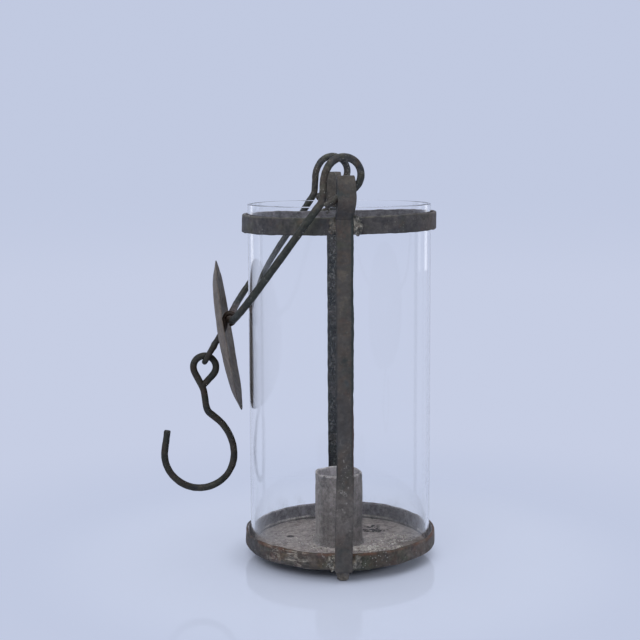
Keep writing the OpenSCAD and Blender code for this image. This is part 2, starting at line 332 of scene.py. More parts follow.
def rod(path, diameter, seed, around=28, swell=None, lumps=0.02, uneven=0.012, flats=0.05, end_round=0.4):
    """A rod along a path: path + r(s, a) (cos a normal + sin a side), with r = d/2 times a rough factor.

    The factor has long and short waves, and flats where a third wave is high, as hammering leaves. Near
    each end r follows a quarter circle of end_round, so the cut has a small round edge.
    """
    path = evenly(path, 0.55)
    _, normal, side = frames(path)
    a = np.linspace(0, 2*np.pi, around, endpoint=False)
    along = along_path(path)
    spoke = np.cos(a)[:, None]*normal[:, None] + np.sin(a)[:, None]*side[:, None]
    rim = path[:, None] + diameter/2*spoke
    factor = 1 + lumps*waves(rim, 14, seed) + uneven*waves(rim, 3.5, seed + 1)
    factor = factor - flats*step(waves(rim, 8, seed + 2), 0.9, 1.9)
    if swell is not None:
        factor = factor*swell(along, path)[:, None]
    edge = np.minimum(along, along[-1] - along)
    lost = np.where(edge < end_round, end_round - np.sqrt(np.maximum(0, end_round**2 - (end_round - edge)**2)), 0)
    radius = diameter/2*factor - lost[:, None]
    return shell(path[:, None] + radius[..., None]*spoke)


def bar_outline(half_width, half_thickness, corner):
    """Points round a rectangle with rounded corners, for arrays of half sizes, as (stations, points, 2).

    Each point is (sx (w - c) + c cos a, sy (t - c) + c sin a), with sx and sy from -1 to 1.
    """
    arc = np.linspace(0, np.pi/2, 5)
    flat = np.linspace(1, -1, 17)[1:-1]
    edge = np.linspace(1, -1, 5)[1:-1]
    bend, long, short = np.ones(5), np.ones(15), np.ones(3)
    ax = np.concatenate([bend, flat, -bend, -short, -bend, -flat, bend, short])
    ay = np.concatenate([bend, long, bend, edge, -bend, -long, -bend, -edge])
    turn = [np.exp(1j*(arc + quarter*np.pi/2)) for quarter in range(4)]
    c = np.concatenate([turn[0], np.full(15, 1j), turn[1], np.full(3, -1), turn[2], np.full(15, -1j), turn[3],
                        np.full(3, 1)])
    x = ax*(half_width - corner)[:, None] + c.real*corner
    y = ay*(half_thickness - corner)[:, None] + c.imag*corner
    return np.stack([x, y], axis=-1)


def lump(middle, size, seed, rows=44, columns=60):
    """A knobbly ball: middle + size times the unit direction, drawn towards a box, times rough waves.

    Its grid has latitude rows and longitude columns, closed at both poles.
    """
    latitude = np.linspace(0.04, np.pi - 0.04, rows)[:, None]
    longitude = np.linspace(0, 2*np.pi, columns, endpoint=False)
    unit = np.stack([np.sin(latitude)*np.cos(longitude), np.sin(latitude)*np.sin(longitude),
                     np.cos(latitude) + 0*longitude], axis=-1)
    boxy = unit/np.linalg.norm(unit, ord=3, axis=-1, keepdims=True)
    place = np.asarray(middle) + np.asarray(size)*boxy
    factor = 1 + 0.13*waves(place, 3.4, seed) + 0.07*waves(place, 1.4, seed + 1) + 0.04*waves(place, 0.7, seed + 2)
    return shell(np.asarray(middle) + np.asarray(size)*boxy*factor[..., None])


# Materials

class Wire:
    """One output of a finish's node. Sums and products of wires add the Math nodes that work them out."""

    def __init__(self, finish, socket):
        self.finish = finish
        self.socket = socket

    def worked(self, operation, first, second):
        return self.finish.node("ShaderNodeMath", {"operation": operation}, {0: first, 1: second})

    def __add__(self, other):
        return self.worked("ADD", self, other)

    def __radd__(self, other):
        return self.worked("ADD", other, self)

    def __sub__(self, other):
        return self.worked("SUBTRACT", self, other)

    def __rsub__(self, other):
        return self.worked("SUBTRACT", other, self)

    def __mul__(self, other):
        return self.worked("MULTIPLY", self, other)

    def __rmul__(self, other):
        return self.worked("MULTIPLY", other, self)

    def __pow__(self, other):
        return self.worked("POWER", self, other)


class Finish:
    """A material in the making: every node comes from node(), and a few helpers call it."""

    def __init__(self, name):
        self.material = bpy.data.materials.new(name)
        self.material.use_nodes = True
        self.tree = self.material.node_tree
        self.tree.nodes.clear()
        place = self.node("ShaderNodeTexCoord", output="Object")
        self.place = self.node("ShaderNodeVectorMath", {"operation": "SCALE"}, {"Vector": place, "Scale": 1/MM})
        parts = self.node("ShaderNodeSeparateXYZ", {}, {0: self.place}).socket.node
        self.x, self.y, self.z = (Wire(self, socket) for socket in parts.outputs)

    def node(self, kind, settings=None, inputs=None, output=0):
        """A new node: its settings first, then the value or wire of each input; gives one output."""
        item = self.tree.nodes.new(kind)
        for key, value in (settings or {}).items():
            if key == "stops":
                ramp = item.color_ramp
                while len(ramp.elements) < len(value):
                    ramp.elements.new(0.5)
                for element, (position, colour) in zip(ramp.elements, value):
                    element.position = position
                    element.color = (*colour, 1)
            else:
                setattr(item, key, value)
        for key, value in (inputs or {}).items():
            if isinstance(value, Wire):
                self.tree.links.new(value.socket, item.inputs[key])
            elif isinstance(value, tuple) and len(value) == 3 and item.inputs[key].type == "RGBA":
                item.inputs[key].default_value = (*value, 1)
            else:
                item.inputs[key].default_value = value
        return Wire(self, item.outputs[output]) if len(item.outputs) else None

    def band(self, value, low, high):
        """0 below low and 1 above high, with a smooth rise; high may be the smaller one."""
        return self.node("ShaderNodeMapRange", {"interpolation_type": "SMOOTHSTEP"},
                         {"Value": value, "From Min": low, "From Max": high})

    def between(self, value, low, high, soft):
        """1 from low to high, with soft sides."""
        return self.band(value, low - soft, low + soft)*self.band(value, high + soft, high - soft)

    def noise(self, size, detail=3.0, roughness=0.55, offset=(0, 0, 0), stretch=(1, 1, 1), distortion=0.0):
        """Noise whose features are about size millimetres wide."""
        moved = self.node("ShaderNodeMapping", {},
                          {"Vector": self.place, "Location": offset, "Scale": stretch})
        return self.node("ShaderNodeTexNoise", {},
                         {"Vector": moved, "Scale": 0.5/size, "Detail": detail, "Roughness": roughness,
                          "Distortion": distortion}, output="Fac")

    def grains(self, size, offset=(0, 0, 0)):
        """Distance to the nearest of scattered points, about size millimetres apart."""
        moved = self.node("ShaderNodeMapping", {}, {"Vector": self.place, "Location": offset})
        return self.node("ShaderNodeTexVoronoi", {}, {"Vector": moved, "Scale": 1/size}, output="Distance")

    def away_from(self, x, y):
        """Distance in plan from a point."""
        return ((self.x - x)**2.0 + (self.y - y)**2.0)**0.5

    def hues(self, value, colours, low=0.34, high=0.66):
        """A ramp through the colours, evenly spread from low to high."""
        places = np.linspace(low, high, len(colours))
        return self.node("ShaderNodeValToRGB", {"stops": list(zip(places.tolist(), colours))}, {"Fac": value},
                         output="Color")

    def mix(self, share, first, second):
        """A colour between two, by share."""
        return self.node("ShaderNodeMix", {"data_type": "RGBA"}, {0: share, 6: first, 7: second}, output=2)

    def shaded(self, colour, factor):
        """A colour made darker or lighter by a factor."""
        return self.node("ShaderNodeVectorMath", {"operation": "SCALE"}, {"Vector": colour, "Scale": factor})

    def bump(self, height, depth, strength=1.0, normal=None):
        """A Bump node for a height of 0 to 1 that stands for depth millimetres."""
        inputs = {"Height": height, "Distance": depth*MM, "Strength": strength}
        if normal is not None:
            inputs["Normal"] = normal
        return self.node("ShaderNodeBump", {}, inputs, output="Normal")

    def surface(self, **sockets):
        """The Principled shader with the named sockets, as the finished material."""
        names = {key.replace("_", " "): value for key, value in sockets.items()}
        self.show(self.node("ShaderNodeBsdfPrincipled", {}, names))
        return self.material

    def show(self, shader):
        self.node("ShaderNodeOutputMaterial", {}, {"Surface": shader})


def iron(name, wide_hues, close_hues, rust=(0.080, 0.036, 0.021), rust_share=0.25, speck=0.0, rough=0.60,
         contrast=0.7, level=1.0, sheen=0.42, seed=0.0, patch=16, tint=None):
    """Old iron: wide and close patches of several hues, a fine grain of light and dark, rust and pale specks.

    tint is a function of the finish that gives (mask, colour) pairs laid over the patches.
    """
    f = Finish(name)
    wide = f.noise(patch, 4, 0.6, (seed, 0, seed), distortion=0.8)
    close = f.noise(patch*0.3, 5, 0.65, (0, seed, 5), distortion=0.5)
    fine = f.noise(1.0, 4, 0.7, (seed, 3, 0))
    pits = f.noise(2.4, 4, 0.7, (3, seed, 1))
    share = f.band(f.noise(patch*0.5, 3, 0.6, (7, 2, seed)), 0.40, 0.60)
    colour = f.mix(share, f.hues(wide, wide_hues), f.hues(close, close_hues))
    for mask, over in (tint(f) if tint else ()):
        colour = f.mix(mask, colour, over)
    stains = f.band(f.noise(4.0, 5, 0.7, (9, seed, 2)), 0.55, 0.66)*rust_share
    colour = f.mix(stains, colour, rust)
    grain = f.band(fine, 0.28, 0.72)*0.6 + f.band(pits, 0.30, 0.70)*0.4
    colour = f.shaded(colour, grain*(2*contrast*level) + (1 - contrast)*level)
    scattered = f.band(f.noise(3.5, 3, 0.6, (4, 4, seed)), 0.50, 0.62)
    pale = f.band(f.grains(1.4, (seed, seed, 0)), 0.30, 0.14)*scattered
    colour = f.mix(pale*speck, colour, (0.30, 0.30, 0.28))
    roughness = rough + 0.20*f.band(close, 0.35, 0.7) - 0.10*f.band(pits, 0.5, 0.7)
    normal = f.bump(0.6*close + 0.5*pits + 0.3*pale, 0.36, 0.75)
    normal = f.bump(f.noise(0.55, 3, 0.6), 0.07, 0.6, normal)
    return f.surface(Base_Color=colour, Roughness=roughness, Metallic=0.0, Specular_IOR_Level=sheen, Normal=normal)


def glass_finish():
    """Clear glass with a film of dust near its foot."""
    f = Finish("clear_glass")
    clear = f.node("ShaderNodeBsdfPrincipled", {},
                   {"Base Color": (0.995, 0.998, 1.0), "Roughness": 0.0, "IOR": 1.46,
                    "Specular Tint": (0.3, 0.3, 0.3), "Transmission Weight": 1.0})
    dust = f.node("ShaderNodeBsdfPrincipled", {}, {"Base Color": (0.48, 0.48, 0.50), "Roughness": 0.9})
    low = f.band(f.z, 26, 8)
    share = low*f.band(f.noise(5, 5, 0.65), 0.42, 0.75)*0.30
    f.show(f.node("ShaderNodeMixShader", {}, {0: share, 1: clear, 2: dust}))
    return f.material


# The stage: camera, floor, backdrop and light

BACKDROP = (0.533, 0.588, 0.752)
BACKDROP_LOW = (0.565, 0.615, 0.775)
STUDIO_FLOOR = (0.570, 0.626, 0.786)


def aimed(place, right, up, away):
    """The matrix of something at a place, with its own three unit axes."""
    turn = np.stack([right, up, away], axis=1)
    return Matrix([[*turn[i], place[i]] for i in range(3)] + [[0, 0, 0, 1]])


def place_camera():
    """The camera at the photograph's angle: its heading, pitch and roll make three unit axes."""
    place = np.array([-39.22, -736.78, 225.38])*MM
    turn, pitch, roll = np.radians([2.216, 7.181, -0.272])
    ahead = np.array([np.sin(turn)*np.cos(pitch), np.cos(turn)*np.cos(pitch), -np.sin(pitch)])
    level = np.array([np.cos(turn), -np.sin(turn), 0])
    rise = np.cross(level, ahead)
    right = np.cos(roll)*level + np.sin(roll)*rise
    up = -np.sin(roll)*level + np.cos(roll)*rise
    camera = bpy.data.cameras.new("camera")
    camera.lens = 75.84
    camera.sensor_width = 36
    holder = bpy.data.objects.new("camera", camera)
    holder.matrix_world = aimed(place, right, up, -ahead)
    bpy.context.scene.collection.objects.link(holder)
    bpy.context.scene.camera = holder


def add_lamp(name, place, aim, size, power):
    """A soft square lamp, facing its aim."""
    lamp = bpy.data.lights.new(name, "AREA")
    lamp.shape = "SQUARE"
    lamp.size = size
    lamp.energy = power
    holder = bpy.data.objects.new(name, lamp)
    away = np.subtract(place, aim)
    away = away/np.linalg.norm(away)
    right = np.cross([0, 0, 1.0], away)
    right /= np.linalg.norm(right)
    holder.matrix_world = aimed(place, right, np.cross(away, right), away)
    bpy.context.scene.collection.objects.link(holder)


def light_world():
    """A pale blue backdrop to what looks at it, straight or through the glass, and soft white light."""
    world = bpy.data.worlds.new("studio")
    bpy.context.scene.world = world
    world.use_nodes = True
    nodes, links = world.node_tree.nodes, world.node_tree.links
    nodes.clear()
    path = nodes.new("ShaderNodeLightPath")
    lit = nodes.new("ShaderNodeMath")
    lit.operation = "MINIMUM"
    links.new(path.outputs["Diffuse Depth"], lit.inputs[0])
    lit.inputs[1].default_value = 1
    shown = nodes.new("ShaderNodeBackground")
    shown.inputs["Color"].default_value = (*BACKDROP, 1)
    light = nodes.new("ShaderNodeBackground")
    light.inputs["Color"].default_value = (1, 1, 1, 1)
    light.inputs["Strength"].default_value = 0.55
    choose = nodes.new("ShaderNodeMixShader")
    links.new(lit.outputs[0], choose.inputs[0])
    links.new(shown.outputs[0], choose.inputs[1])
    links.new(light.outputs[0], choose.inputs[2])
    out = nodes.new("ShaderNodeOutputWorld")
    links.new(choose.outputs[0], out.inputs["Surface"])


def add_floor():
    """A round floor with a faint mirror image, that fades into the backdrop's colour further out.

    Under the tray it only takes light, so its shadow is dark; further out most of its brightness glows.
    """
    f = Finish("studio_floor")
    away = f.away_from(0, 0)
    shade = f.away_from(-5, 0)
    lit = f.band(shade, 37, 46)*0.12 + f.band(shade, 49, 66)*0.56
    matt = f.node("ShaderNodeBsdfPrincipled", {},
                  {"Base Color": f.shaded(STUDIO_FLOOR, 1 - lit), "Roughness": 1.0, "Specular IOR Level": 0.0,
                   "Emission Color": f.shaded(STUDIO_FLOOR, lit), "Emission Strength": 1.0})
    mirror = f.node("ShaderNodeBsdfPrincipled", {}, {"Base Color": (1.0, 1.0, 1.0), "Metallic": 1.0,
                                                     "Roughness": 0.06})
    near = f.node("ShaderNodeMixShader", {}, {0: f.band(away, 95, 60)*0.06 + 0.09, 1: matt, 2: mirror})
    lighter = f.mix(f.band(away, 160, 340), BACKDROP, BACKDROP_LOW)
    distant = f.mix(f.band(away**-1.0, 1/1500, 1/9000), lighter, BACKDROP)
    far = f.node("ShaderNodeEmission", {}, {"Color": distant})
    f.show(f.node("ShaderNodeMixShader", {}, {0: f.band(away, 105, 185), 1: near, 2: far}))
    radius = np.concatenate([np.linspace(1, 700, 24), [1200, 3000, 9000]])
    points = turned(np.stack([radius, 0*radius], axis=-1), 96)
    _, quads, _ = shell(points)
    middle = np.arange(96)
    mesh = bpy.data.meshes.new("floor")
    mesh.from_pydata((points.reshape(-1, 3)*MM).tolist(), [], quads[:, ::-1].tolist() + [middle.tolist()])
    mesh.materials.append(f.material)
    floor = bpy.data.objects.new("floor", mesh)
    bpy.context.scene.collection.objects.link(floor)


bpy.context.scene.view_settings.view_transform = "Standard"
place_camera()
light_world()
add_lamp("front_softbox", (-0.45, -1.0, 1.05), (0, 0, 0.1), 0.9, 8.5)
add_lamp("top_softbox", (0.1, 0.15, 1.35), (0, 0, 0.1), 1.1, 6.0)
add_lamp("glint_right", (0.70, 0.70, 0.145), (0.04, 0, 0.17), 0.14, 0.038)
add_lamp("glint_left", (-0.57, 0.78, 0.14), (-0.04, 0, 0.17), 0.14, 0.032)
add_floor()


# Finishes

INKY = (0.024, 0.028, 0.032)
GREEN_BLACK = (0.024, 0.031, 0.027)
SLATE = (0.044, 0.047, 0.050)
UMBER = (0.062, 0.049, 0.039)
FAWN = (0.090, 0.078, 0.064)
OLIVE = (0.052, 0.052, 0.038)
PLUM = (0.060, 0.043, 0.041)
ASH = (0.105, 0.100, 0.096)


def bar_tints(f):
    """A paler foot with clouds and flecks, and a right edge that is green-black above and red lower down."""
    yield f.between(f.z, 24, 48, 10)*0.75, (0.128, 0.116, 0.112)
    yield f.band(f.z, 20, 12)*0.5, (0.100, 0.092, 0.088)
    low = f.band(f.z, 60, 50)
    yield low*f.band(f.noise(2.6, 5, 0.7, (8, 1, 1)), 0.50, 0.58)*0.7, (0.058, 0.051, 0.046)
    flecks = f.band(f.noise(1.2, 5, 0.75, (1, 6, 1), distortion=1.0), 0.57, 0.63)
    yield f.between(f.z, 26, 76, 8)*flecks*0.8, (0.260, 0.245, 0.230)
    yield f.between(f.z, 70, 100, 12)*0.4, (0.078, 0.072, 0.072)
    yield f.band(f.noise(14, 4, 0.6, (6, 2, 1), (1, 1, 0.5)), 0.52, 0.62)*0.5, (0.040, 0.037, 0.036)
    yield f.band(f.x, 2.7, 3.4)*f.between(f.z, 58, 192, 8)*0.95, (0.016, 0.024, 0.021)
    yield f.band(f.x, 3.2, 4.0)*f.between(f.z, 58, 96, 6)*0.7, (0.075, 0.036, 0.027)
    yield f.band(f.x, -3.6, -4.3)*f.band(f.z, 50, 60)*0.6, INKY
    yield f.band(f.z, 205, 213)*0.5, (0.070, 0.058, 0.046)


def rear_tints(f):
    """Blue-black clouds with grey bloom on the face behind the glass, and brown above the ring."""
    behind = f.band(f.y, 54.6, 53.9)*f.band(f.z, 192, 188)
    yield behind*0.9, (0.046, 0.043, 0.036)
    yield behind*f.band(f.noise(5.5, 5, 0.7, (2, 0, 7)), 0.46, 0.54)*0.95, (0.009, 0.013, 0.011)
    yield behind*f.band(f.noise(0.9, 4, 0.7, (5, 1, 7)), 0.54, 0.62)*0.8, (0.165, 0.168, 0.158)
    yield f.band(f.z, 190, 194)*0.7, (0.064, 0.054, 0.044)


def ring_tints(f):
    """A greyer, paler inside that is palest on the left, a painted highlight in pale olive along the top edge, an
    olive patch at the front left, a brown right end.
    """
    away = f.away_from(0, 0)
    inside = f.band(away, 52.2, 51.6)
    edge = f.band(f.z - f.x*np.tan(np.radians(RING_TILT)), RING_TOP - 1.1, RING_TOP - 0.5)
    # Painted highlight: a broken pale olive line along the ring's top edge
    yield edge*f.band(f.noise(5, 4, 0.6, (3, 1, 1)), 0.42, 0.55)*0.6, (0.108, 0.104, 0.084)
    yield inside*0.85, (0.175, 0.170, 0.186)
    yield inside*f.band(f.x, -2, -14)*0.5, (0.310, 0.295, 0.315)
    yield inside*f.band(f.noise(3, 4, 0.7, (1, 5, 1)), 0.48, 0.6)*0.5, (0.100, 0.094, 0.100)
    yield f.band(f.x, 36, 50)*0.5, (0.080, 0.058, 0.044)
    yield f.between(f.x, -26, -12, 4)*f.band(f.y, 0, -20)*0.5, (0.046, 0.048, 0.034)


def tray_tints(f):
    """The dusty pan with its stains, a painted glint along the tube's foot above a line of painted shade; the
    outside brown, green and scratched.
    """
    away = f.away_from(0, 0)
    inside = f.band(away, 52.1, 51.5)*f.band(f.z, TRAY_Z + 1.1, TRAY_Z + 1.4)
    yield inside, (0.400, 0.395, 0.450)
    yield inside*f.band(f.noise(5, 5, 0.7, (8, 1, 2)), 0.46, 0.62)*0.7, (0.275, 0.268, 0.305)
    yield inside*f.band(f.noise(1.6, 5, 0.75, (3, 1, 2)), 0.58, 0.66)*0.7, (0.48, 0.47, 0.48)
    floor = inside*f.band(f.z, FLOOR_Z + 1.0, FLOOR_Z + 0.3)
    yield floor, (0.400, 0.360, 0.355)
    yield floor*f.band(f.noise(12, 4, 0.6, (3, 8, 0)), 0.48, 0.62)*0.45, (0.270, 0.245, 0.245)
    yield floor*f.band(f.grains(1.7, (2, 2, 0)), 0.26, 0.12)*0.8, (0.66, 0.63, 0.62)
    uneven = (f.noise(5, 4, 0.7, (1, 9, 0)) - 0.5)*9.0
    broken = f.band(f.noise(9, 3, 0.6, (6, 2, 0)), 0.40, 0.50)
    # Painted light: the broken white line at the tube's foot is a painted glint of its edge, and the dark line under
    # it is painted shade in the corner
    wall = inside*f.band(away, 49.0, 50.0)
    yield wall*f.between(f.z, FLOOR_Z + 0.7, FLOOR_Z + 1.7, 0.15)*broken*0.95, (0.90, 0.88, 0.86)
    yield wall*f.band(f.z, FLOOR_Z + 0.55, FLOOR_Z + 0.35)*0.55, (0.060, 0.056, 0.060)
    stain = f.band(f.away_from(21, 23) + uneven, 9.0, 7.0)*f.band(f.noise(2.6, 5, 0.75, (4, 4, 0)), 0.47, 0.53)
    yield floor*stain*0.97, (0.026, 0.023, 0.025)
    yield floor*f.band(f.away_from(-28, 10) + 0.3*uneven, 2.8, 1.8)*0.95, (0.034, 0.030, 0.030)
    yield floor*f.band(f.away_from(36, -4) + uneven, 13, 8)*0.45, (0.190, 0.165, 0.150)
    outside = 1 - inside
    yield outside*f.band(f.x, -36, -46)*0.6, (0.046, 0.044, 0.046)
    yield outside*f.band(f.x, 24, 46)*0.65, (0.125, 0.102, 0.092)
    yield outside*f.band(f.noise(7, 5, 0.65, (1, 2, 3)), 0.50, 0.60)*0.6, (0.043, 0.050, 0.034)
    yield outside*f.band(f.noise(5, 5, 0.7, (4, 7, 3)), 0.55, 0.65)*0.6, (0.098, 0.072, 0.048)
    lip = outside*f.band(f.z, TRAY_TOP - 2.0, TRAY_TOP - 0.8)
    yield lip*f.band(f.noise(6, 4, 0.6, (7, 7, 1)), 0.40, 0.56)*0.75, (0.105, 0.048, 0.031)
    front_left = f.between(f.x, -40, -20, 4)*outside*f.band(f.y, 0, -20)
    scratch = f.noise(2.6, 5, 0.75, (2, 2, 2), (0.6, 0.6, 2.0), 0.8)
    yield front_left*f.band(scratch, 0.49, 0.60)*0.85, (0.285, 0.262, 0.225)


def socket_tints(f):
    """Pale runs down the tube, a painted highlight at its left edge, a pale inside and mouth, and a darker lower
    half.
    """
    runs = f.noise(2.2, 5, 0.65, (0, 0, 3), (1, 1, 0.25))
    yield f.band(runs, 0.50, 0.64)*0.6, (0.250, 0.235, 0.232)
    blotch = f.noise(5, 5, 0.7, (3, 3, 3))
    yield f.band(blotch, 0.50, 0.60)*0.75, (0.098, 0.092, 0.095)
    edge = f.z + 9*f.noise(9, 3, 0.6, (6, 0, 0))
    yield f.band(edge, 36, 31)*0.55, (0.120, 0.110, 0.110)
    # Painted highlight: a pale strip down the tube's left edge
    yield f.band(f.x, -9.5, -12.5)*0.6, (0.290, 0.275, 0.270)
    inside = f.band(f.away_from(*SOCKET_LEAN[:2]), SOCKET_OUTER - 0.6, SOCKET_OUTER - 0.9)
    yield inside*0.9, (0.38, 0.365, 0.395)
    mouth = f.band(f.z, SOCKET_TOP - 1.4, SOCKET_TOP - 0.6)*f.band(f.noise(1.6, 3, 0.6, (1, 1, 4)), 0.42, 0.52)
    yield mouth*0.8, (0.36, 0.345, 0.350)


def bail_tints(f):
    """Green-black arms, a red-brown worn place at the top of the bow, and pale scuffs on the eyes."""
    yield f.band(f.z, 200, 192)*0.75, (0.022, 0.026, 0.021)
    worn_place = f.between(f.z, 126, 138, 3)*f.band(f.y*f.y, 1600, 900)
    yield worn_place*0.85, (0.104, 0.066, 0.048)
    eyes = f.band(f.z, 206, 210)*f.band(f.noise(2.0, 4, 0.7, (3, 3, 3)), 0.56, 0.64)
    yield eyes*0.8, (0.165, 0.160, 0.130)


def hook_tints(f):
    """A red-brown eye on the link, where it hangs on the bail."""
    yield f.band(f.z, 127, 130)*0.8, (0.100, 0.064, 0.048)


def disc_tints(f):
    """Wide darker clouds."""
    yield f.band(f.noise(9, 4, 0.6, (2, 6, 2)), 0.50, 0.66)*0.5, (0.074, 0.066, 0.056)
    yield f.band(f.z, 112, 100)*0.4, (0.068, 0.060, 0.054)


def braze_tints(f):
    """Whitish veins and crumbs, most of all at the ring's right lump and the tray's left one."""
    upper, right = f.band(f.z, 90, 100), f.band(f.x, -1, 1)
    pale_side = upper*right + (1 - upper)*(1 - right)
    veins = f.band(f.noise(1.5, 5, 0.75, (2, 2, 2), distortion=1.4), 0.49, 0.58)
    yield veins*(0.25 + 0.65*pale_side), (0.300, 0.285, 0.250)
    yield f.band(f.noise(1.8, 4, 0.7, (9, 2, 2)), 0.54, 0.62)*0.8, (0.030, 0.032, 0.029)


iron_front = iron("front_bar_iron", [SLATE, UMBER, (0.050, 0.046, 0.043), OLIVE, (0.066, 0.056, 0.048)],
                  [GREEN_BLACK, UMBER, (0.056, 0.052, 0.049), FAWN], rust_share=0.2, speck=0.1, contrast=0.35,
                  level=0.92, seed=2.0, tint=bar_tints)
iron_rear = iron("rear_bar_iron", [INKY, SLATE, UMBER, OLIVE], [INKY, SLATE, FAWN], rust_share=0.12, speck=0.7,
                 contrast=0.7, seed=5.0, tint=rear_tints)
iron_ring = iron("ring_iron", [(0.020, 0.021, 0.023), SLATE, (0.044, 0.041, 0.043), OLIVE, (0.086, 0.078, 0.074)],
                 [(0.018, 0.018, 0.020), (0.046, 0.042, 0.042), (0.084, 0.077, 0.072)], rust_share=0.25,
                 speck=0.4, contrast=0.5, seed=8.0, tint=ring_tints)
iron_tray = iron("tray_iron", [SLATE, UMBER, OLIVE, FAWN], [GREEN_BLACK, UMBER, PLUM, ASH], rust_share=0.35,
                 speck=0.7, rough=0.68, contrast=0.6, seed=11.0, tint=tray_tints)
iron_socket = iron("socket_iron", [(0.150, 0.135, 0.132), (0.205, 0.185, 0.178), (0.170, 0.158, 0.155)],
                   [(0.115, 0.108, 0.108), (0.190, 0.172, 0.166), (0.235, 0.220, 0.212)], rust_share=0.06,
                   speck=0.4, rough=0.66, contrast=0.45, level=1.42, seed=14.0, tint=socket_tints)
iron_bail = iron("bail_iron", [INKY, SLATE, UMBER, OLIVE], [GREEN_BLACK, OLIVE, SLATE, FAWN], rust_share=0.15,
                 speck=0.5, rough=0.5, contrast=0.7, level=0.85, sheen=0.28, seed=17.0, patch=11,
                 tint=bail_tints)
iron_hook = iron("hook_iron", [GREEN_BLACK, OLIVE, UMBER, SLATE], [INKY, OLIVE, PLUM], rust_share=0.3,
                 speck=0.1, rough=0.5, contrast=0.5, level=0.52, sheen=0.25, seed=20.0, patch=10,
                 tint=hook_tints)
iron_disc = iron("disc_iron", [(0.102, 0.083, 0.066), (0.132, 0.110, 0.090), (0.114, 0.098, 0.082)],
                 [(0.078, 0.062, 0.050), (0.126, 0.102, 0.080), (0.146, 0.122, 0.100)], rust_share=0.25,
                 speck=0.25, rough=0.58, contrast=0.5, seed=23.0, tint=disc_tints)
iron_foot = iron("foot_iron", [SLATE, (0.085, 0.078, 0.075), ASH], [SLATE, FAWN, ASH], rust_share=0.1,
                 speck=0.4, contrast=0.6, level=1.35, seed=26.0)
braze = iron("braze", [SLATE, (0.085, 0.080, 0.070), UMBER], [GREEN_BLACK, (0.110, 0.104, 0.092), FAWN],
             rust=(0.110, 0.070, 0.042), rust_share=0.4, speck=0.9, rough=0.72, contrast=0.8, seed=29.0, patch=6,
             tint=braze_tints)
mineral = iron("mineral_grains", [(0.44, 0.40, 0.38), (0.66, 0.63, 0.61), (0.82, 0.80, 0.78)],
               [(0.30, 0.24, 0.21), (0.68, 0.65, 0.62), (0.86, 0.84, 0.81)], rust=(0.26, 0.16, 0.12),
               rust_share=0.4, speck=0.9, rough=0.85, contrast=0.4, seed=32.0, patch=4)
clear_glass = glass_finish()


# Tray, socket, crust and feet

def tray_surface():
    """The tray's section turned about Z: under the floor, up the outside, over the lip, down and in."""
    outer, inner = BAND_R - WORN_OFF, BAND_R - BAND_WALL
    outline = evenly(rounded([(0.4, TRAY_Z, 0), (outer, TRAY_Z, TRAY_EDGE_R), (outer, TRAY_TOP, 0.9),
                              (inner, TRAY_TOP, 0.9), (inner, FLOOR_Z, 1.0), (0.4, FLOOR_Z, 0)]), 0.62)
    grid = turned(outline, 300)
    rim = step(np.hypot(grid[..., 0], grid[..., 1]), 44, 51)
    moved = worn(grid, [(26, 0.16), (7, 0.07)], 100)
    moved = grid + (moved - grid)*(0.25 + 0.75*rim)[..., None]
    heading_of = np.degrees(np.arctan2(grid[..., 1], grid[..., 0]))
    high = step(grid[..., 2], FLOOR_Z + 2, TRAY_TOP)*rim
    moved[..., 2] += 1.1*bell(heading_of, 62, 22)*high
    moved[..., 2] = np.maximum(moved[..., 2], TRAY_Z - 0.2)
    return shell(moved)


def socket_surface():
    """A tube with a worn, slightly dented mouth: its wall's section turned about Z as a closed loop."""
    inner = SOCKET_OUTER - SOCKET_WALL
    outline = evenly(rounded([(inner, FLOOR_Z + 4, 0), (inner, SOCKET_TOP, 0.5), (SOCKET_OUTER, SOCKET_TOP, 0.5),
                              (SOCKET_OUTER, FLOOR_Z, 0.2), (inner, FLOOR_Z, 0.2), (inner, FLOOR_Z + 4, 0)]), 0.6)
    grid = turned(outline[:-1], 120)
    high = step(grid[..., 2], SOCKET_TOP - 14, SOCKET_TOP)
    moved = worn(grid, [(13, 0.16), (5, 0.05)], 130)
    return shell(grid + (moved - grid)*(0.3 + 0.7*high)[..., None] + SOCKET_LEAN, wrap=True)


def solder_surface():
    """The flare of solder round the socket's foot: a hollow curve turned about Z, with lumps."""
    start = SOCKET_OUTER - 0.3
    t = np.linspace(0, 1, 16)
    curve = np.stack([start + 0.3 + 3.0*t**2.2, FLOOR_Z - 0.2 + 3.2*(1 - t)**2.2], axis=-1)
    base = np.stack([np.linspace(start + 3.3, start, 8), np.full(8, FLOOR_Z - 0.3)], axis=-1)
    grid = turned(np.concatenate([curve, base]), 150)
    height = (grid[..., 2] - FLOOR_Z + 0.3)[..., None]
    push = 0.14*waves(grid, 5, 160) + 0.07*waves(grid, 1.6, 161)
    out = grid*[1, 1, 0]/np.linalg.norm(grid*[1, 1, 0], axis=-1, keepdims=True)
    return shell(grid + out*push[..., None]*np.minimum(1, 4*height) + SOCKET_LEAN, wrap=True)


